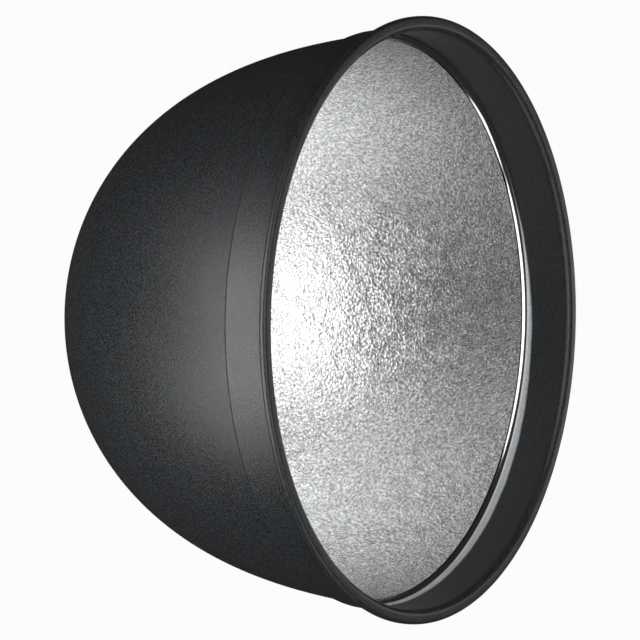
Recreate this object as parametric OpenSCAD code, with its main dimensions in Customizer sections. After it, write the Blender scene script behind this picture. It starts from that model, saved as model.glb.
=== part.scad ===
// Bowl reflector for a studio flash head, with a clamp-on neck.
// The bowl's axis is Y: it opens towards -Y and clamps onto a lamp tube at +Y. +Z is up.
// The origin is the centre of the neck's bore. Millimetres.
// Depths are measured back from the front of the rim, and behind(depth) turns one into a Y value.

/* [Rim and collar] */
// Outer radius of the rolled rim
rim_r = 170; // [168:1:180]
// Radius of the bend from the collar's inner wall to the rim's front face
mouth_round = 4; // [3:0.1:4]
// Thickness of the rolled rim along the axis
rim_depth = 4.4; // [4.2:0.1:6]
// Depth of the back face of the step behind the collar
collar_depth = 31; // [25:1:38]
// Outer radius of the collar
collar_r = 162.8; // [162.4:0.1:163.4]

/* [Bowl] */
// Radius of the bowl's outline curve at its own centre
bowl_r = 163.9; // [162:0.1:164]
// Distance of that centre in front of the rim
bowl_lead = 93.8; // [85:0.1:100]
// Depth at which the outline curve would meet the axis
bowl_apex = 217.8; // [214:0.1:222]
// Power in the outline curve: more gives a straighter side and a blunter end
bowl_power = 3.5; // [3.2:0.05:3.8]
// Depth of the flat back
back_depth = 199; // [196:0.5:201]

/* [Sheet] */
// Thickness of the painted outer shell
shell_t = 1.3; // [1:0.1:1.4]
// Thickness of the hammered reflector insert
insert_t = 1.2; // [0.8:0.1:1.4]
// Air gap between shell and insert, measured square to the outline curve
skin_gap = 0.4; // [0.3:0.1:0.6]
// Radius of the turned edge at the back of the collar
edge_round = 1.6; // [1:0.1:1.8]
// Width of the flat seat on the ledge
seat_w = 1.5; // [1:0.1:2]

/* [Neck] */
// Radius of the lamp tube that the neck clamps
tube_r = 50; // [49:0.5:50]
// Length of the neck's bore
neck_length = 26; // [24:1:26]
// Thickness of the rubber grip liner
liner_t = 2.2; // [1.5:0.1:2.2]
// Wall of the metal neck sleeve
sleeve_t = 2; // [1.5:0.1:2]
// Outer radius of the flange and of the backing ring
flange_r = 66; // [65:0.5:67]
// Thickness of the sleeve's flange
flange_t = 1.5; // [1:0.1:2]
// Thickness of the backing ring
backing_t = 1; // [0.8:0.1:1]
// Number of rivets round the neck
rivet_count = 8; // [6:1:10]
// Radius of a rivet's shank
rivet_r = 1.6; // [1.2:0.1:1.8]
// Number of slots that let the sleeve close
slot_count = 6; // [3:1:8]

/* [Clamp] */
// Width of the clamp band
band_w = 6; // [5:0.1:6]
// Thickness of the clamp band
band_t = 1; // [0.8:0.1:1.2]
// Width of the gap between the band's two ears
ear_gap = 8; // [6:0.5:8]
// Thickness of an ear
ear_t = 2; // [1.5:0.1:2]
// Height of the draw bolt above the bore's axis
bolt_height = 61.5; // [61:0.1:63]
// Radius of the draw bolt
bolt_r = 1.9; // [1.5:0.1:1.9]
// Distance of the lever's pivot from the middle of the clamp
pivot_x = 13.2; // [13.2:0.1:15]
// Radius of the lever's pivot pin
pin_r = 1.2; // [1:0.05:1.3]
// Radius of the lever's cam
cam_r = 4.2; // [4:0.1:4.2]
// Throw of the cam, the distance from its centre to the pivot
cam_throw = 0.8; // [0.4:0.1:0.8]
// Angle round the neck at which the closed lever ends
lever_end = 64; // [50:1:80]
// Outer radius of the thumb nut
nut_r = 4.4; // [4:0.1:4.4]
// Length of the thumb nut
nut_length = 6; // [4:0.5:6]
// Number of ridges round the thumb nut
nut_ridges = 20; // [12:1:24]

/* [Hidden] */

$fn = 96;
round_fn = 240;             // facets of the big turned parts
wire_fn = 32;               // facets of the wire's section
curve_steps = 44;           // straight stretches along the bowl's outline
arc_steps = 6;              // straight stretches along a turned edge
bend_steps = 24;            // straight stretches along the lever's bend
overlap = 0.01;             // how far a cutter passes its face
running = 0.05;             // radial clearance of a part that turns on another

// Colours
paint = [0.13, 0.14, 0.15];
hammered = [0.80, 0.81, 0.82];
bare = [0.72, 0.73, 0.74];
steel = [0.60, 0.61, 0.62];
brass = [0.75, 0.62, 0.32];
rubber = [0.07, 0.07, 0.07];
plastic = [0.10, 0.10, 0.11];

// Depths and radii of the turned parts
origin_depth = 196;
mouth_r = collar_r - shell_t;
rim_round = 1.7;
ledge_depth = collar_depth - shell_t - insert_t;
seat_r = mouth_r - seat_w;
crown_start = 26;
crown_end = 58;
turn_depth = ledge_depth + 2.6;
corner_gap = 0.4;
insert_w = shell_t + skin_gap;
back_inner = back_depth - shell_t;
wire_r = rim_depth / 2 - shell_t;
wire_at = rim_r - shell_t - wire_r;

// The neck, in Y
neck_end = neck_length / 2;
liner_r = tube_r + liner_t;
sleeve_r = liner_r + sleeve_t;
sleeve_hole_r = sleeve_r + 0.1;
lip_t = 0.8;
lip_r = sleeve_r + 1.2;
liner_lip = 1.5;
flange_back = behind(back_inner - insert_t);
backing_face = behind(back_depth) + backing_t;
backing_hole_r = sleeve_r + 1.4;
rivet_circle = 61;
rivet_head_r = 3;
rivet_head_t = 1;
rivet_tail_r = 2.6;
rivet_tail_t = 0.8;
slot_w = 2;
slot_start = 5.4;

// The clamp
latch_y = 8.75;
band_inner_r = sleeve_r + 0.1;
band_r = band_inner_r + band_t;
ear_w = 6.5;
ear_foot = 54.4;
ear_face = ear_gap / 2 + ear_t;
bolt_hole_r = bolt_r + 0.2;
saddle_t = 2;
saddle_h = 8.4;
eye_r = 3;
eye_w = 4;
cheek_w = 1.2;
cheek_gap = 4.2;
lever_w = cheek_gap + 2 * cheek_w;
arm_r = 60.8;
arm_outer_r = 65;
arm_start = 12.2;
arm_joined = 21;
arm_end = 30;
web_r = 62.4;
web_outer_r = 64.2;
web_end = lever_end - 2;
grip_start = 36;
grip_r = 61.7;
grip_outer_r = 65.6;
grip_w = 6.9;
clip_t = 0.4;
clip_r = 2.4;
clip_gap = 0.12;
pin_length = 8.6;
washer_t = 1;
washer_r = 4;
face_gap = 0.1;
bolt_tail = 18.6;
bolt_end_r = 2.4;
bolt_end_t = 0.9;
ridge_h = 0.35;
screw_angles = [150, 210];
screw_head_r = 2.4;
screw_head_t = 1.3;
screw_r = 1.2;

// Y value at a depth behind the rim's front
function behind(depth) = depth - origin_depth;

// The bowl's outline: its radius at a depth, and w inside the outer surface
function bowl_radius(depth, w) =
    (bowl_r - w) * sqrt(1 - pow((depth + bowl_lead) / (bowl_apex + bowl_lead - w), bowl_power));

// Points [radius, Y] along that outline from one depth to a deeper one, closer together where it curves in
function bowl_curve(from, to, w) = [
    for (i = [0:curve_steps])
        let (depth = from + (to - from) * sin(90 * i / curve_steps))
        [bowl_radius(depth, w), behind(depth)]];

// Points along an arc in the [radius, Y] plane
function arc(centre, r, from, to) = [
    for (i = [0:arc_steps])
        let (a = from + (to - from) * i / arc_steps)
        centre + r * [cos(a), sin(a)]];

function backwards(list) = [for (i = [len(list) - 1:-1:0]) list[i]];

// A solid of revolution about Y from points [radius, Y]
module turned(points) {
    rotate([-90, 0, 0]) rotate_extrude($fn = round_fn) polygon(points);
}

// A ring about Y from one Y value to another
module ring(inner, outer, from, to) {
    turned([[inner, from], [outer, from], [outer, to], [inner, to]]);
}

// A cylinder along Y
module post(r, from, to) {
    translate([0, from, 0]) rotate([-90, 0, 0]) cylinder(r = r, h = to - from);
}

// A cylinder along X
module rod(r, from, to) {
    translate([from, 0, 0]) rotate([0, 90, 0]) cylinder(r = r, h = to - from);
}

// A point at an angle round Y, measured from the top towards +X
module round_neck(angle, r) {
    rotate([0, angle, 0]) translate([0, 0, r]) children();
}

// Points [X, Z] along an arc round the neck, with angles from the top towards +X
function neck_arc(r, from, to) = [
    for (i = [0:bend_steps])
        let (a = from + (to - from) * i / bend_steps)
        r * [sin(a), cos(a)]];

// Points round a half circle that closes the end of a bent block at an angle
function neck_cap(inner, outer, at) = [
    for (i = [1:bend_steps - 1])
        let (b = 180 * i / bend_steps)
        (inner + outer) / 2 * [sin(at), cos(at)]
            + (outer - inner) / 2 * (cos(b) * [sin(at), cos(at)] + sin(b) * [cos(at), -sin(at)])];

// A block bent round the neck between two angles, centred on the latch's middle plane
module neck_sector(inner, outer, from, to, w, rounded = false) {
    translate([0, latch_y + w / 2, 0]) rotate([90, 0, 0]) linear_extrude(height = w) polygon(concat(
        neck_arc(outer, from, to),
        rounded ? neck_cap(inner, outer, to) : [],
        backwards(neck_arc(inner, from, to))));
}

module rivet_places() {
    for (i = [0:rivet_count - 1])
        rotate([0, (i + 0.5) * 360 / rivet_count, 0]) translate([0, 0, rivet_circle]) children();
}

module rivet_holes(from, to) {
    rivet_places() post(rivet_r, from - overlap, to + overlap);
}

// Collar and bowl in one sheet, with the step between them and the rim rolled out over a wire
module outer_shell() {
    front = behind(0);
    step_back = behind(collar_depth);
    step_front = step_back - shell_t;
    bend_end = mouth_r + mouth_round;
    outside = concat(
        arc([bend_end, front + mouth_round], mouth_round, 180, 270),
        arc([rim_r - rim_round, front + rim_round], rim_round, 270, 360),
        arc([rim_r - rim_round, front + rim_depth - rim_round], rim_round, 0, 90),
        [[collar_r, front + rim_depth]],
        arc([collar_r - edge_round, step_back - edge_round], edge_round, 0, 90),
        bowl_curve(collar_depth, back_depth, 0),
        [[sleeve_hole_r, behind(back_depth)]]);
    inside = concat(
        [[sleeve_hole_r, behind(back_inner)]],
        backwards(bowl_curve(collar_depth, back_inner, shell_t)),
        [[seat_r + corner_gap, step_front], [mouth_r, step_front]]);
    color(paint) difference() {
        turned(concat(outside, inside));
        rotate([-90, 0, 0]) rotate_extrude($fn = round_fn) {
            translate([wire_at, front + rim_depth / 2]) circle(r = wire_r, $fn = wire_fn);
            translate([bend_end, front + shell_t]) square([wire_at - bend_end, 2 * wire_r]);
        }
        rivet_holes(behind(back_inner), behind(back_depth));
    }
}

// Hammered inner bowl: its smooth flange is the ledge at the back of the collar, a flat seat whose inner
// side is crowned down to the bowl
module reflector_insert() {
    ledge = behind(ledge_depth);
    inner_w = insert_w + insert_t;
    inner_back = back_inner - insert_t;
    crown_r = (seat_r - bowl_radius(turn_depth, inner_w)) / (sin(crown_end) - sin(crown_start));
    crown = [seat_r + crown_r * sin(crown_start), ledge + crown_r * cos(crown_start)];
    color(hammered) difference() {
        turned(concat(
            arc(crown, crown_r, 270 - crown_end, 270 - crown_start),
            [[mouth_r, ledge], [mouth_r, ledge + insert_t], [seat_r, ledge + insert_t]],
            bowl_curve(collar_depth, back_inner, insert_w),
            [[sleeve_hole_r, behind(back_inner)], [sleeve_hole_r, behind(inner_back)]],
            backwards(bowl_curve(turn_depth, inner_back, inner_w))));
        rivet_holes(behind(inner_back), behind(back_inner));
    }
}

// Wire that the rim is rolled over
module rim_wire() {
    color(steel) rotate([-90, 0, 0]) rotate_extrude($fn = round_fn)
        translate([wire_at, behind(0) + rim_depth / 2]) circle(r = wire_r, $fn = wire_fn);
}

// Ring that spreads the rivets' load on the outside of the shell
module backing_ring() {
    color(paint) difference() {
        ring(backing_hole_r, flange_r, behind(back_depth), backing_face);
        rivet_holes(behind(back_depth), backing_face);
    }
}

// Neck tube with a flange inside the bowl, slotted at its outer end so that the band can close it
module neck_sleeve() {
    color(bare) difference() {
        turned([
            [liner_r, -neck_end + liner_lip], [sleeve_r, -neck_end + liner_lip],
            [sleeve_r, flange_back - flange_t], [flange_r, flange_back - flange_t],
            [flange_r, flange_back], [sleeve_r, flange_back],
            [sleeve_r, neck_end - lip_t], [lip_r, neck_end - lip_t],
            [lip_r, neck_end], [liner_r, neck_end]]);
        rivet_holes(flange_back - flange_t, flange_back);
        for (i = [0:slot_count - 1])
            round_neck(i * 360 / slot_count, liner_r - overlap)
                translate([-slot_w / 2, slot_start, -sleeve_t])
                cube([slot_w, neck_end - slot_start + overlap, 3 * sleeve_t]);
        for (a = screw_angles)
            round_neck(a, liner_r - overlap) translate([0, latch_y, 0]) cylinder(r = screw_r, h = 2 * sleeve_t);
    }
}

// Rivets through flange, insert, shell and backing ring
module flange_rivets() {
    color(bare) rivet_places() rotate([-90, 0, 0]) rotate_extrude() polygon(concat(
        [[0, flange_back - flange_t - rivet_tail_t], [rivet_tail_r, flange_back - flange_t - rivet_tail_t],
        [rivet_tail_r, flange_back - flange_t], [rivet_r, flange_back - flange_t],
        [rivet_r, backing_face], [rivet_head_r, backing_face]],
        [for (i = [1:arc_steps])
            [rivet_head_r * cos(90 * i / arc_steps), backing_face + rivet_head_t * sin(90 * i / arc_steps)]]));
}

// Rubber liner that grips the lamp tube
module grip_liner() {
    color(rubber) turned([
        [tube_r, -neck_end], [sleeve_r, -neck_end], [sleeve_r, -neck_end + liner_lip],
        [liner_r, -neck_end + liner_lip], [liner_r, neck_end], [tube_r, neck_end]]);
}

// One ear of the band, on the side that side = 1 or -1 gives
module ear(side) {
    face = side > 0 ? ear_gap / 2 : -ear_face;
    top = bolt_height + ear_w / 2;
    difference() {
        union() {
            translate([face, latch_y - ear_w / 2, ear_foot]) cube([ear_t, ear_w, top - ear_foot]);
            translate([0, latch_y, top]) rod(ear_w / 2, face, face + ear_t);
        }
        translate([0, latch_y, bolt_height]) rod(bolt_hole_r, face - overlap, face + ear_t + overlap);
    }
}

// Steel band round the slotted neck, ending in two ears
module clamp_band() {
    from = latch_y - band_w / 2;
    to = latch_y + band_w / 2;
    color(steel) {
        difference() {
            ring(band_inner_r, band_r, from, to);
            translate([-ear_gap / 2, from - overlap, 0]) cube([ear_gap, band_w + 2 * overlap, band_r + overlap]);
            for (a = screw_angles)
                round_neck(a, sleeve_r) translate([0, latch_y, 0]) cylinder(r = screw_r, h = 2 * band_t);
        }
        ear(1);
        ear(-1);
    }
}

// Screws that keep the band on the neck when the lever is open
module band_screws() {
    color(steel) for (a = screw_angles)
        round_neck(a, liner_r) translate([0, latch_y, 0]) {
            cylinder(r = screw_r, h = band_r - liner_r + overlap);
            translate([0, 0, band_r - liner_r]) cylinder(r1 = screw_head_r, r2 = 0.8 * screw_head_r,
                h = screw_head_t);
        }
}

// Bolt that draws the ears together, with an eye for the lever's pin
module draw_bolt() {
    color(steel) translate([0, latch_y, bolt_height]) difference() {
        union() {
            rod(bolt_r, -bolt_tail, pivot_x);
            rod(bolt_end_r, -bolt_tail - bolt_end_t, -bolt_tail);
            translate([pivot_x, 0, 0]) post(eye_r, -eye_w / 2, eye_w / 2);
        }
        translate([pivot_x, 0, 0]) post(pin_r, -eye_w, eye_w);
    }
}

// Brass pad that the cam presses on
module cam_saddle() {
    color(brass) difference() {
        translate([ear_face, latch_y - ear_w / 2, bolt_height - saddle_h / 2]) cube([saddle_t, ear_w, saddle_h]);
        translate([0, latch_y, bolt_height]) rod(bolt_hole_r, ear_face - overlap, ear_face + saddle_t + overlap);
    }
}

// Pin that the lever turns on
module lever_pin() {
    color(steel) translate([pivot_x, latch_y, bolt_height]) post(pin_r, -pin_length / 2, pin_length / 2);
}

// Clips on both ends of the pin
module pin_clips() {
    color(steel) translate([pivot_x, latch_y, bolt_height])
        for (side = [0, 1]) mirror([0, side, 0]) difference() {
            post(clip_r, lever_w / 2 + clip_gap, lever_w / 2 + clip_gap + clip_t);
            post(pin_r, lever_w / 2, lever_w / 2 + clip_gap + 2 * clip_t);
        }
}

// Lever: two cheeks with the cam, joined by a web that lies round the neck
module cam_lever() {
    color(steel) difference() {
        union() {
            translate([pivot_x - cam_throw, latch_y, bolt_height]) post(cam_r, -lever_w / 2, lever_w / 2);
            neck_sector(arm_r, arm_outer_r, arm_start, arm_end, lever_w);
            neck_sector(web_r, web_outer_r, arm_joined, web_end, lever_w);
        }
        // The gap that the bolt and its eye lie in
        translate([0, latch_y - cheek_gap / 2, 0]) cube([arm_outer_r * sin(arm_joined), cheek_gap, 2 * arm_outer_r]);
        translate([pivot_x, latch_y, bolt_height]) post(pin_r + running, -lever_w, lever_w);
    }
}

// Moulded grip on the lever's end
module lever_grip() {
    color(plastic) difference() {
        neck_sector(grip_r, grip_outer_r, grip_start, lever_end, grip_w, rounded = true);
        neck_sector(web_r, web_outer_r, arm_joined, web_end, lever_w);
    }
}

// Washer between the thumb nut and the ear
module nut_washer() {
    color(steel) translate([0, latch_y, bolt_height]) difference() {
        rod(washer_r, -ear_face - face_gap - washer_t, -ear_face - face_gap);
        rod(bolt_r + running, -bolt_tail, 0);
    }
}

// Knurled nut that sets the band's size
module thumb_nut() {
    start = ear_face + 2 * face_gap + washer_t;
    color(brass) translate([-start - nut_length, latch_y, bolt_height]) difference() {
        rotate([0, 90, 0]) linear_extrude(height = nut_length) polygon([
            for (i = [0:4 * nut_ridges - 1])
                let (r = i % 4 < 2 ? nut_r : nut_r - ridge_h)
                let (a = (i + 0.5) * 360 / (4 * nut_ridges))
                r * [cos(a), sin(a)]]);
        rod(bolt_r + running, -overlap, nut_length + overlap);
    }
}

outer_shell();
reflector_insert();
rim_wire();
backing_ring();
neck_sleeve();
flange_rivets();
grip_liner();
clamp_band();
band_screws();
draw_bolt();
cam_saddle();
lever_pin();
pin_clips();
cam_lever();
lever_grip();
nut_washer();
thumb_nut();
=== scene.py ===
import math

import bpy
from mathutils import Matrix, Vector, noise


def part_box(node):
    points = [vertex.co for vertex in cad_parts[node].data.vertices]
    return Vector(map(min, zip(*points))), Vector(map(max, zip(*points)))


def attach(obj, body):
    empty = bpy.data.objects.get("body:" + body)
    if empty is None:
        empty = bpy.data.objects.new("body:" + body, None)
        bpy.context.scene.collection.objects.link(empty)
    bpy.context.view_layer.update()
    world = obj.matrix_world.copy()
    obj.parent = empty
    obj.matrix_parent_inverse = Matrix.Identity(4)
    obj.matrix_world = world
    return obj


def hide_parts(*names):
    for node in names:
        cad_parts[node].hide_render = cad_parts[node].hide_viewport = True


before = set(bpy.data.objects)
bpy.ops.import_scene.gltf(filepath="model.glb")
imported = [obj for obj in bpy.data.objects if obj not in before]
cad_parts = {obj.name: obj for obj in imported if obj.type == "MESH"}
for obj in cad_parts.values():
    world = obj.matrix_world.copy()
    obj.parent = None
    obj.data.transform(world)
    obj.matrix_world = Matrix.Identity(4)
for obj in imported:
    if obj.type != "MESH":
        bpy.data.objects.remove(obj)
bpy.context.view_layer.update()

MM = 0.001

# ---------------------------------------------------------------- sizes, in millimetres
shell_low, shell_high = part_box("outer_shell")
RIM_R = shell_high.x / MM
RIM_FRONT = shell_low.y / MM
RIM_DEPTH = 4.4
RIM_ROUND = 1.7
MOUTH_ROUND = 4.0
COLLAR_DEPTH = 31.0
COLLAR_R = 162.8
BOWL_R = 163.9
BOWL_LEAD = 93.8
BOWL_APEX = 217.8
BOWL_POWER = 3.5
BACK_DEPTH = 199.0
SHELL_T = 1.3
INSERT_T = 1.2
SKIN_GAP = 0.4
EDGE_ROUND = 1.6
SEAT_R = 160.0
CORNER_GAP = 0.4
CROWN_START, CROWN_END = 26, 58
TURN_DEPTH = 31.1
HOLE_R = 54.3
HEM_GAP = 0.3
HEM_ROUND = 0.5
HEM_SLOT = 1.2
WIRE_CAVITY_R = 0.92

MOUTH_R = COLLAR_R - SHELL_T
LEDGE_DEPTH = COLLAR_DEPTH - SHELL_T - INSERT_T
INSERT_OUT_W = SHELL_T + SKIN_GAP
INSERT_IN_W = INSERT_OUT_W + INSERT_T
SHELL_BACK_IN = BACK_DEPTH - SHELL_T
INSERT_BACK_IN = SHELL_BACK_IN - INSERT_T

SHELL_COLUMNS = 432
INSERT_COLUMNS = 768
INSERT_BACK_COLUMNS = 96
ROUND_STEPS = 8
RIM_STEPS = 10
MOUTH_STEPS = 12
HEM_STEPS = 4
CROWN_STEPS = 14
CAVITY_STEPS = 16
COLLAR_ROWS = 14
BACK_ROWS = 4
SHELL_ROWS = 96
SHELL_INSIDE_ROWS = 32
HAMMERED_ROWS = 118
INSERT_BACK_ROWS = 24


def bowl_radius(depth, w):
    """Radius of the bowl's outline at a depth behind the rim, w inside the outer surface."""
    along = (depth + BOWL_LEAD) / (BOWL_APEX + BOWL_LEAD - w)
    return (BOWL_R - w) * math.sqrt(1 - along ** BOWL_POWER)


def bowl_curve(start, end, w, rows):
    """Points (radius, depth) along the outline, nearly evenly spaced along its length."""
    samples = 4000
    fine = [start + (end - start) * math.sin(math.pi / 2 * i / samples) for i in range(samples + 1)]
    points = [(bowl_radius(d, w), d) for d in fine]
    length = [0.0]
    for (r0, d0), (r1, d1) in zip(points, points[1:]):
        length.append(length[-1] + math.hypot(r1 - r0, d1 - d0))
    curve, at = [], 0
    for i in range(rows + 1):
        while at < len(length) - 1 and length[at] < length[-1] * i / rows:
            at += 1
        curve.append(points[at])
    return curve


def arc(centre_r, centre_d, radius, start, end, steps=ROUND_STEPS):
    """Points (radius, depth) along an arc, angles in degrees from outwards towards the back."""
    angles = [math.radians(start + (end - start) * i / steps) for i in range(steps + 1)]
    return [(centre_r + radius * math.cos(a), centre_d + radius * math.sin(a)) for a in angles]


def straight(start, end, steps):
    """Points between two (radius, depth) points, without the two ends."""
    (r0, d0), (r1, d1) = start, end
    return [(r0 + (r1 - r0) * i / steps, d0 + (d1 - d0) * i / steps) for i in range(1, steps)]


# ---------------------------------------------------------------- meshes
def place(radius, depth, column, columns):
    angle = 2 * math.pi * column / columns
    return (radius * MM * math.sin(angle), (RIM_FRONT + depth) * MM, radius * MM * math.cos(angle))


def ring_of(vertices, point, columns):
    start = len(vertices)
    vertices.extend(place(point[0], point[1], c, columns) for c in range(columns))
    return [start + c for c in range(columns)]


def bridge(faces, first, second):
    """Quads between two rings, or many-sided faces where the rings have different counts."""
    if len(first) == len(second):
        n = len(first)
        faces.extend((first[c], second[c], second[(c + 1) % n], first[(c + 1) % n]) for c in range(n))
        return
    flip = len(first) < len(second)
    fine, coarse = (second, first) if flip else (first, second)
    step = len(fine) // len(coarse)
    for c in range(len(coarse)):
        side = [fine[(c * step + k) % len(fine)] for k in range(step + 1)]
        face = [coarse[(c + 1) % len(coarse)], coarse[c]][::-1] + side[::-1]
        faces.append(tuple(face[::-1] if flip else face))


def mesh_object(name, vertices, faces, sharp_angle=32):
    mesh = bpy.data.meshes.new(name)
    mesh.from_pydata(vertices, [], faces)
    mesh.validate()
    mesh.update()
    mesh.polygons.foreach_set("use_smooth", [True] * len(mesh.polygons))
    mesh.set_sharp_from_angle(angle=math.radians(sharp_angle))
    piece = bpy.data.objects.new(name, mesh)
    bpy.context.scene.collection.objects.link(piece)
    return piece


# ---------------------------------------------------------------- material nodes
class Surface:
    """A material with one Principled shader, and short calls that add nodes to it."""

    def __init__(self, name, **constants):
        self.material = bpy.data.materials.new(name)
        self.material.use_nodes = True
        self.tree = self.material.node_tree
        self.shader = self.tree.nodes["Principled BSDF"]
        for socket, value in constants.items():
            self.shader.inputs[socket.replace("_", " ")].default_value = value
        self.place = self.add("ShaderNodeTexCoord").outputs["Object"]

    def add(self, kind, sockets=None, **settings):
        node = self.tree.nodes.new(kind)
        for key, value in settings.items():
            setattr(node, key, value)
        for key, value in (sockets or {}).items():
            self.feed(node.inputs[key], value)
        return node

    def feed(self, socket, value):
        if isinstance(value, bpy.types.NodeSocket):
            self.tree.links.new(value, socket)
        else:
            socket.default_value = value

    def math(self, operation, *values, clamp=False):
        node = self.add("ShaderNodeMath", dict(enumerate(values)), operation=operation, use_clamp=clamp)
        return node.outputs[0]

    def noise(self, size_mm, detail=2.0, roughness=0.5, where=None, distortion=0.0):
        """Noise from 0 to 1 whose features are about size_mm across."""
        node = self.add("ShaderNodeTexNoise", {
            "Vector": where or self.place, "Scale": 1 / (size_mm * MM), "Detail": detail,
            "Roughness": roughness, "Distortion": distortion})
        return node.outputs["Fac"]

    def cells(self, size_mm, feature="F1"):
        """The distance to the nearest of the scattered points about size_mm apart."""
        node = self.add("ShaderNodeTexVoronoi", {
            "Vector": self.place, "Scale": 1 / (size_mm * MM)}, feature=feature)
        return node.outputs["Distance"]

    def ramp(self, value, low, high, out_low=0.0, out_high=1.0):
        """value from low..high, smoothly, to out_low..out_high."""
        node = self.add("ShaderNodeMapRange", {
            "Value": value, "From Min": low, "From Max": high, "To Min": out_low, "To Max": out_high},
            interpolation_type="SMOOTHSTEP")
        return node.outputs["Result"]

    def blend(self, factor, first, second):
        node = self.add("ShaderNodeMix", {"Factor": factor}, data_type="RGBA")
        self.feed(node.inputs[6], first)
        self.feed(node.inputs[7], second)
        return node.outputs[2]

    def bump(self, height, depth_mm, before=None):
        sockets = {"Height": height, "Distance": depth_mm * MM, "Strength": 1.0}
        if before is not None:
            sockets["Normal"] = before
        return self.add("ShaderNodeBump", sockets).outputs["Normal"]

    def axes(self):
        node = self.add("ShaderNodeSeparateXYZ", {"Vector": self.place})
        return node.outputs["X"], node.outputs["Y"], node.outputs["Z"]

    def radius(self):
        x, _, z = self.axes()
        squares = self.math("ADD", self.math("MULTIPLY", x, x), self.math("MULTIPLY", z, z))
        return self.math("SQRT", squares)

    def stretched(self, x=1.0, y=1.0, z=1.0):
        node = self.add("ShaderNodeMapping", {"Vector": self.place, "Scale": (x, y, z)})
        return node.outputs["Vector"]

    def turned(self):
        """Coordinates that run only with the radius and the depth, for marks left by turning."""
        _, y, _ = self.axes()
        node = self.add("ShaderNodeCombineXYZ", {"X": self.radius(), "Y": y, "Z": 0.0})
        return node.outputs["Vector"]

    def finish(self, color=None, roughness=None, normal=None, metallic=None):
        for socket, value in (("Base Color", color), ("Roughness", roughness), ("Normal", normal),
                              ("Metallic", metallic)):
            if value is not None:
                self.feed(self.shader.inputs[socket], value)
        return self.material


def grey(value, blue=0.0):
    return (value * (1 - blue), value, value * (1 + blue), 1.0)


COAT_DARK = (0.008, 0.009, 0.010, 1.0)
COAT_LIGHT = (0.036, 0.040, 0.044, 1.0)


def powder_coat(s):
    """Grain, specks and slow changes of a satin charcoal powder coat: (colour, roughness, normal)."""
    grain = s.noise(0.9, detail=2.0, roughness=0.6)
    tone = s.ramp(grain, 0.36, 0.64)
    specks = s.ramp(s.noise(1.1, detail=1.0), 0.66, 0.72)
    color = s.blend(tone, COAT_DARK, COAT_LIGHT)
    color = s.blend(s.math("MULTIPLY", specks, 0.35), color, grey(0.13, 0.03))
    slow = s.noise(45, detail=2.0)
    roughness = s.math("ADD", s.ramp(slow, 0.3, 0.7, 0.0, 0.04), s.ramp(grain, 0.3, 0.7, 0.29, 0.38))
    normal = s.bump(grain, 0.15)
    normal = s.bump(s.noise(2.6, detail=1.0), 0.03, normal)
    return color, roughness, normal


def coat_material(name="powder_coat"):
    s = Surface(name, IOR=1.5)
    color, roughness, normal = powder_coat(s)
    return s.finish(color, roughness, normal)


# The bare sanded strip, in millimetres from the seat's inner edge: its mean width, and how the width
# changes with x and z
STRIP_MEAN = -2.9
STRIP_X = 6.5
STRIP_Z = -5.4


def strip_paint(s, past):
    """1 on the black paint and 0 on the bare strip, from the distance past the strip's inner edge."""
    x, _, z = s.axes()
    width = s.math("MULTIPLY_ADD", x, STRIP_X / MOUTH_R, STRIP_MEAN * MM)
    width = s.math("MULTIPLY_ADD", z, STRIP_Z / MOUTH_R, width)
    ragged = s.math("MULTIPLY_ADD", s.noise(2.5, detail=4.0, roughness=0.7), 0.9 * MM, -0.45 * MM)
    wander = s.math("MULTIPLY_ADD", s.noise(22, detail=1.0), 1.2 * MM, -0.6 * MM)
    edge = s.math("SUBTRACT", past, s.math("ADD", width, s.math("ADD", ragged, wander)))
    return s.ramp(edge, -0.8 * MM, 0.8 * MM)


def strip_look(s, past):
    """The sanded strip and the paint beside it: (colour, roughness, paint, grain)."""
    paint = strip_paint(s, past)
    scratches = s.noise(0.9, detail=3.0, roughness=0.7)
    metal = s.blend(s.ramp(scratches, 0.3, 0.7), grey(0.66, 0.02), grey(0.96, 0.02))
    grain = s.noise(0.9, detail=2.0, roughness=0.6)
    black = s.blend(s.ramp(grain, 0.36, 0.64), (0.017, 0.0185, 0.020, 1), (0.038, 0.041, 0.044, 1))
    roughness = s.math("MULTIPLY_ADD", paint, -0.05, s.ramp(scratches, 0.3, 0.7, 0.50, 0.60))
    return s.blend(paint, metal, black), roughness, paint, grain


def collar_wall_material():
    """Black paint on the collar's inner wall, masked off unevenly beside the ledge."""
    s = Surface("collar_wall_paint", IOR=1.5)
    _, y, _ = s.axes()
    ledge_y = (RIM_FRONT + LEDGE_DEPTH) * MM
    past = s.math("SUBTRACT", ledge_y + (MOUTH_R - SEAT_R) * MM, y)
    color, roughness, paint, grain = strip_look(s, past)
    metallic = s.math("MULTIPLY_ADD", paint, -0.5, 0.5)
    return s.finish(color, roughness, s.bump(grain, 0.04), metallic)


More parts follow.
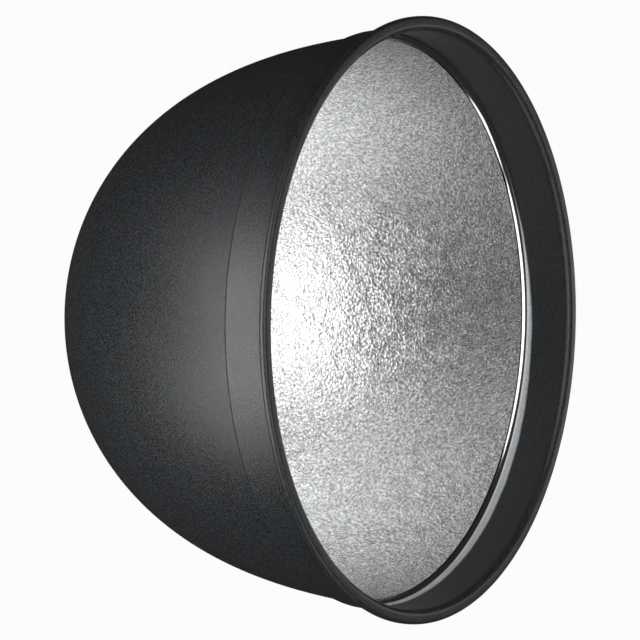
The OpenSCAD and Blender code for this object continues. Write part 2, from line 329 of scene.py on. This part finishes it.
def ledge_material(edge_r):
    """Polished inside the hairline, sanded or painted outside it, and a painted dark reflection on the
    turn inside edge_r.
    """
    s = Surface("ledge_aluminium")
    past = s.math("SUBTRACT", s.radius(), SEAT_R * MM)
    outer, outer_rough, paint, _ = strip_look(s, past)
    rings = s.noise(0.3, detail=3.0, roughness=0.65, where=s.turned())
    polished = s.blend(s.ramp(rings, 0.3, 0.7), grey(0.78, 0.008), grey(0.92, 0.004))
    is_outer = s.ramp(past, 0.0, 0.2 * MM)
    color = s.blend(is_outer, polished, outer)
    hairline = s.ramp(s.math("ABSOLUTE", past), 0.05 * MM, 0.18 * MM)
    color = s.blend(hairline, grey(0.02), color)
    # Painted dark reflection: the turn inside edge_r is coloured near black as a stand-in for the dark
    # surroundings it reflects, not tarnish.
    color = s.blend(s.ramp(s.radius(), edge_r * MM, (edge_r + 0.3) * MM), grey(0.04), color)
    polish = s.ramp(rings, 0.3, 0.7, 0.10, 0.16)
    rough = s.math("MULTIPLY_ADD", is_outer, s.math("SUBTRACT", outer_rough, polish), polish)
    paint_here = s.math("MULTIPLY", paint, is_outer)
    metallic = s.math("MULTIPLY_ADD", paint_here, -1.0, s.ramp(past, 0.0, 0.2 * MM, 1.0, 0.5), clamp=True)
    return s.finish(color, rough, s.bump(rings, 0.002), metallic)


def hammered_material():
    """Bright aluminium with a fine pebbled, slightly streaky hammer pattern."""
    s = Surface("hammered_aluminium_look", Metallic=1.0)
    drift = s.noise(5.0, detail=2.0)
    pebbles = s.noise(1.45, detail=2.5, roughness=0.55, distortion=0.6)
    dents = s.cells(1.9)
    patches = s.noise(9.0, detail=3.0, roughness=0.6)
    depth = s.ramp(patches, 0.35, 0.65, 0.6, 1.0)
    height = s.math("MULTIPLY", s.math("ADD", pebbles, s.math("MULTIPLY", dents, 0.45)), depth)
    color = s.blend(s.ramp(pebbles, 0.36, 0.6), grey(0.62, 0.012), grey(1.0, 0.004))
    roughness = s.math("ADD", s.ramp(drift, 0.3, 0.7, 0.0, 0.05), s.ramp(pebbles, 0.3, 0.7, 0.17, 0.11))
    normal = s.bump(height, 0.56)
    normal = s.bump(s.noise(0.5, detail=1.0), 0.012, normal)
    return s.finish(color, roughness, normal)


def spun_metal(name, light, dark, roughness, lines_mm=0.3):
    """Bare turned metal with fine rings left by the tool."""
    s = Surface(name, Metallic=1.0)
    rings = s.noise(lines_mm, detail=3.0, roughness=0.65, where=s.turned())
    stains = s.noise(14, detail=3.0)
    color = s.blend(s.ramp(rings, 0.3, 0.7), dark, light)
    color = s.blend(s.ramp(stains, 0.45, 0.75, 0.0, 0.25), color, dark)
    rough = s.math("ADD", s.ramp(rings, 0.3, 0.7, roughness - 0.04, roughness + 0.05),
                   s.ramp(stains, 0.3, 0.7, 0.0, 0.05))
    return s.finish(color, rough, s.bump(rings, 0.006))


def plated_steel(name="plated_steel"):
    s = Surface(name, Metallic=1.0)
    brushed = s.noise(0.5, detail=3.0, where=s.stretched(0.12, 1.0, 1.0))
    cloud = s.noise(6, detail=3.0)
    color = s.blend(s.ramp(brushed, 0.3, 0.7), grey(0.46, 0.02), grey(0.62, 0.02))
    color = s.blend(s.ramp(cloud, 0.5, 0.8, 0.0, 0.4), color, (0.50, 0.49, 0.44, 1))
    rough = s.math("ADD", s.ramp(brushed, 0.3, 0.7, 0.24, 0.34), s.ramp(cloud, 0.4, 0.7, 0.0, 0.08))
    return s.finish(color, rough, s.bump(brushed, 0.01))


def turned_brass(name="satin_brass"):
    s = Surface(name, Metallic=1.0)
    marks = s.noise(0.4, detail=3.0, where=s.stretched(1.0, 0.15, 0.15))
    tarnish = s.noise(3.5, detail=3.0)
    color = s.blend(s.ramp(marks, 0.3, 0.7), (0.60, 0.46, 0.21, 1), (0.78, 0.63, 0.33, 1))
    color = s.blend(s.ramp(tarnish, 0.5, 0.8, 0.0, 0.5), color, (0.34, 0.25, 0.12, 1))
    rough = s.math("ADD", s.ramp(marks, 0.3, 0.7, 0.22, 0.32), s.ramp(tarnish, 0.4, 0.7, 0.0, 0.12))
    return s.finish(color, rough, s.bump(marks, 0.012))


def grip_rubber(name="liner_rubber"):
    s = Surface(name, IOR=1.45)
    grain = s.noise(0.4, detail=3.0)
    dust = s.noise(7, detail=4.0, roughness=0.7)
    color = s.blend(s.ramp(grain, 0.3, 0.7), grey(0.012), grey(0.024))
    color = s.blend(s.ramp(dust, 0.55, 0.85, 0.0, 0.4), color, grey(0.06))
    return s.finish(color, s.ramp(grain, 0.3, 0.7, 0.62, 0.78), s.bump(grain, 0.03))


def moulded_plastic(name="grip_plastic"):
    s = Surface(name, IOR=1.5)
    leather = s.cells(0.8, feature="SMOOTH_F1")
    wear = s.noise(5, detail=3.0)
    color = s.blend(s.ramp(wear, 0.4, 0.8), grey(0.018), grey(0.032))
    rough = s.math("ADD", s.ramp(leather, 0.1, 0.6, 0.42, 0.52), s.ramp(wear, 0.4, 0.7, 0.0, 0.08))
    return s.finish(color, rough, s.bump(leather, 0.04))


# ---------------------------------------------------------------- the outer shell
def shell_profile():
    """The shell's cross-section, (radius, depth), as one closed loop: outside, then inside."""
    hem_r = COLLAR_R + HEM_GAP
    slot_end = RIM_DEPTH - HEM_SLOT
    outside = arc(MOUTH_R + MOUTH_ROUND, MOUTH_ROUND, MOUTH_ROUND, 180, 270, MOUTH_STEPS)
    outside += arc(RIM_R - RIM_ROUND, RIM_ROUND, RIM_ROUND, 270, 360, RIM_STEPS)
    outside += arc(RIM_R - RIM_ROUND, RIM_DEPTH - RIM_ROUND, RIM_ROUND, 0, 90, RIM_STEPS)
    outside += arc(hem_r + HEM_ROUND, RIM_DEPTH - HEM_ROUND, HEM_ROUND, 90, 180, HEM_STEPS)
    outside += [(hem_r, slot_end), (COLLAR_R, slot_end), (COLLAR_R - 0.01, RIM_DEPTH)]
    collar_end = arc(COLLAR_R - EDGE_ROUND, COLLAR_DEPTH - EDGE_ROUND, EDGE_ROUND, 0, 90)
    outside += straight(outside[-1], collar_end[0], COLLAR_ROWS) + collar_end
    outside += bowl_curve(COLLAR_DEPTH, BACK_DEPTH, 0, SHELL_ROWS)
    outside += straight(outside[-1], (HOLE_R, BACK_DEPTH), BACK_ROWS) + [(HOLE_R, BACK_DEPTH)]
    inside = [(HOLE_R, SHELL_BACK_IN)]
    inside += bowl_curve(COLLAR_DEPTH, SHELL_BACK_IN, SHELL_T, SHELL_INSIDE_ROWS)[::-1]
    inside += [(SEAT_R + CORNER_GAP, COLLAR_DEPTH - SHELL_T), (MOUTH_R, COLLAR_DEPTH - SHELL_T)]
    inside += [(MOUTH_R, LEDGE_DEPTH)]
    inside += straight(inside[-1], outside[0], COLLAR_ROWS)
    return outside + inside


def loop_solid(vertices, faces, profile, columns):
    """Adds one closed loop, turned about Y."""
    rings = [ring_of(vertices, point, columns) for point in profile]
    for first, second in zip(rings, rings[1:] + rings[:1]):
        bridge(faces, first, second)


def on_inner_wall(polygon):
    """Whether a face of the shell lies on the collar's straight inner wall."""
    depth = polygon.center.y / MM - RIM_FRONT
    r = math.hypot(polygon.center.x, polygon.center.z) / MM
    return MOUTH_ROUND < depth < COLLAR_DEPTH - SHELL_T and abs(r - MOUTH_R) < SHELL_T / 4


def build_shell():
    vertices, faces = [], []
    loop_solid(vertices, faces, shell_profile(), SHELL_COLUMNS)
    wire_r = RIM_R - RIM_DEPTH / 2
    cavity = arc(wire_r, RIM_DEPTH / 2, WIRE_CAVITY_R, 360, 0, CAVITY_STEPS)[:-1]
    loop_solid(vertices, faces, cavity, SHELL_COLUMNS // 2)
    shell = mesh_object("shell_visual", vertices, faces)
    shell.data.materials.append(coat_material())
    shell.data.materials.append(collar_wall_material())
    for polygon in shell.data.polygons:
        polygon.material_index = 1 if on_inner_wall(polygon) else 0
    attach(shell, "reflector")
    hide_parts("outer_shell")


# ---------------------------------------------------------------- the hammered insert
def relief(point):
    """Height of the hammer marks at a point, in millimetres: rounded swellings of two sizes."""
    p = Vector(point) / MM
    return 0.06 * noise.noise(p / 3.4) + 0.09 * noise.noise(p / 8.0)


def ledge_profile():
    """The ledge from the collar's wall to the hammered bowl: a flat seat, then a crown."""
    turn_r = bowl_radius(TURN_DEPTH, INSERT_IN_W)
    start, end = math.radians(CROWN_START), math.radians(CROWN_END)
    crown = (SEAT_R - turn_r) / (math.sin(end) - math.sin(start))
    centre = (SEAT_R + crown * math.sin(start), LEDGE_DEPTH + crown * math.cos(start))
    seat = [(MOUTH_R, LEDGE_DEPTH), ((MOUTH_R + SEAT_R) / 2, LEDGE_DEPTH)]
    turn = (turn_r, TURN_DEPTH)
    return seat + arc(*centre, crown, 270 - CROWN_START, 270 - CROWN_END, CROWN_STEPS) + [turn]


def build_insert():
    smooth = ledge_profile()
    hammered = bowl_curve(TURN_DEPTH, INSERT_BACK_IN, INSERT_IN_W, HAMMERED_ROWS)[1:]
    hammered += straight(hammered[-1], (HOLE_R, INSERT_BACK_IN), 6) + [(HOLE_R, INSERT_BACK_IN)]
    behind = [(HOLE_R, SHELL_BACK_IN)]
    behind += bowl_curve(COLLAR_DEPTH, SHELL_BACK_IN, INSERT_OUT_W, INSERT_BACK_ROWS)[::-1]
    behind += [(SEAT_R, LEDGE_DEPTH + INSERT_T), (MOUTH_R, LEDGE_DEPTH + INSERT_T)]
    vertices, faces = [], []
    front = [ring_of(vertices, point, INSERT_COLUMNS) for point in smooth + hammered]
    back = [ring_of(vertices, point, INSERT_BACK_COLUMNS) for point in behind]
    rings = front + back
    for first, second in zip(rings, rings[1:] + rings[:1]):
        bridge(faces, second, first)
    for row in range(len(smooth), len(front) - 1):
        (r0, d0), (r1, d1) = (smooth + hammered)[row - 1], (smooth + hammered)[row + 1]
        length = math.hypot(r1 - r0, d1 - d0)
        out_r, out_d = (d1 - d0) / length, -(r1 - r0) / length
        fade = min(1.0, (row - len(smooth)) / 3)
        for c in front[row]:
            x, y, z = vertices[c]
            r = math.hypot(x, z)
            push = relief((x, y, z)) * fade * MM
            vertices[c] = (x - x / r * out_r * push, y - out_d * push, z - z / r * out_r * push)
    insert = mesh_object("insert_visual", vertices, faces, sharp_angle=50)
    insert.data.materials.append(hammered_material())
    insert.data.materials.append(ledge_material(smooth[-1][0] + 0.1))
    insert.data.materials.append(spun_metal("insert_back", grey(0.60), grey(0.50), 0.42))
    smooth_quads = (len(smooth) - 1) * INSERT_COLUMNS
    front_quads = (len(front) - 1) * INSERT_COLUMNS
    for polygon in insert.data.polygons:
        front_material = 1 if polygon.index < smooth_quads else 0
        polygon.material_index = front_material if polygon.index < front_quads else 2
    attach(insert, "reflector")
    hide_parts("reflector_insert")


# ---------------------------------------------------------------- the CAD's own parts
def dress_nodes():
    coat = coat_material("ring_coat")
    sleeve = spun_metal("neck_aluminium", grey(0.74, 0.01), grey(0.58, 0.012), 0.30, lines_mm=0.4)
    rivets = spun_metal("rivet_aluminium", grey(0.70, 0.01), grey(0.52, 0.012), 0.34, lines_mm=0.8)
    steel = plated_steel()
    brass = turned_brass()
    looks = {
        "backing_ring": coat, "neck_sleeve": sleeve, "flange_rivets": rivets,
        "grip_liner": grip_rubber(), "lever_grip": moulded_plastic(),
        "cam_saddle": brass, "thumb_nut": brass}
    for name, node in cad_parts.items():
        if name in ("outer_shell", "reflector_insert"):
            continue
        node.data.materials.clear()
        node.data.materials.append(looks.get(name, steel))


# ---------------------------------------------------------------- stage, light and camera
CENTRE = Vector((0, -0.1226, -0.001))
CAMERA_AZIMUTH, CAMERA_ELEVATION = -57.69, 1.83
CAMERA_DISTANCE = 2.300
CAMERA_LENS = 227.3


def direction(azimuth, elevation):
    """A unit vector, from degrees: azimuth 0 is straight out of the mouth, and elevation is up."""
    a, e = math.radians(azimuth), math.radians(elevation)
    return Vector((math.sin(a) * math.cos(e), -math.cos(a) * math.cos(e), math.sin(e)))


def softbox(name, azimuth, elevation, distance, width, height, power):
    lamp = bpy.data.lights.new(name, "AREA")
    lamp.shape = "RECTANGLE"
    lamp.size, lamp.size_y = width, height
    lamp.energy = power
    light = bpy.data.objects.new(name, lamp)
    light.location = CENTRE + direction(azimuth, elevation) * distance
    light.rotation_euler = (CENTRE - light.location).to_track_quat("-Z", "Y").to_euler()
    light.visible_camera = False
    bpy.context.scene.collection.objects.link(light)


def backdrop():
    """A pale floor that sweeps up into a pale wall all round, seen by the camera only."""
    floor_z, wall_r, cove_r, wall_top, roof_rise = -1.3, 6.0, 1.6, 7.0, 1.5
    centre_r, cove_steps, columns = 0.02, 12, 96
    profile = [(centre_r, floor_z), (wall_r / 2, floor_z)]
    for i in range(cove_steps + 1):
        a = math.pi / 2 * i / cove_steps
        profile.append((wall_r - cove_r + cove_r * math.sin(a), floor_z + cove_r * (1 - math.cos(a))))
    roof = wall_top + roof_rise
    profile += [(wall_r, wall_top), (wall_r * 0.6, roof), (centre_r, roof)]
    vertices = [(r * math.cos(2 * math.pi * c / columns), r * math.sin(2 * math.pi * c / columns), z)
                for r, z in profile for c in range(columns)]
    faces = [(row * columns + c, row * columns + (c + 1) % columns,
              (row + 1) * columns + (c + 1) % columns, (row + 1) * columns + c)
             for row in range(len(profile) - 1) for c in range(columns)]
    sweep = mesh_object("studio_sweep", vertices, faces)
    paper = bpy.data.materials.new("pale_paper")
    paper.use_nodes = True
    nodes = paper.node_tree.nodes
    nodes.remove(nodes["Principled BSDF"])
    glow = nodes.new("ShaderNodeEmission")
    glow.inputs["Color"].default_value = (0.97, 0.97, 0.97, 1)
    glow.inputs["Strength"].default_value = 1.0
    paper.node_tree.links.new(glow.outputs[0], nodes["Material Output"].inputs["Surface"])
    sweep.data.materials.append(paper)
    for ray in ("visible_diffuse", "visible_glossy", "visible_transmission", "visible_shadow"):
        setattr(sweep, ray, False)


def lighting():
    world = bpy.data.worlds.new("studio_world")
    bpy.context.scene.world = world
    world.use_nodes = True
    world.node_tree.nodes["Background"].inputs["Color"].default_value = grey(0.02)
    softbox("front_softbox", -38, 0, 2.0, 1.8, 3.5, 38)
    softbox("front_low", 0, -60, 2.0, 0.9, 1.1, 6)
    softbox("front_fill", 44, 0, 2.0, 0.7, 1.1, 1.2)
    softbox("rear_left_strip", -121, -3, 2.0, 0.5, 2.3, 33)
    softbox("rear_low", -135, -30, 2.0, 0.7, 1.1, 6)
    softbox("rear_high", -135, 30, 2.0, 0.7, 1.1, 2)
    softbox("rim_light", 62, -2, 1.2, 0.2, 0.2, 0.5)


def camera():
    lens = bpy.data.cameras.new("camera")
    lens.sensor_width = 36
    lens.lens = CAMERA_LENS
    view = bpy.data.objects.new("camera", lens)
    view.location = CENTRE + direction(CAMERA_AZIMUTH, CAMERA_ELEVATION) * CAMERA_DISTANCE
    view.rotation_euler = (CENTRE - view.location).to_track_quat("-Z", "Y").to_euler()
    bpy.context.scene.collection.objects.link(view)
    bpy.context.scene.camera = view


build_shell()
build_insert()
dress_nodes()
backdrop()
lighting()
camera()
bpy.context.scene.view_settings.view_transform = "Standard"
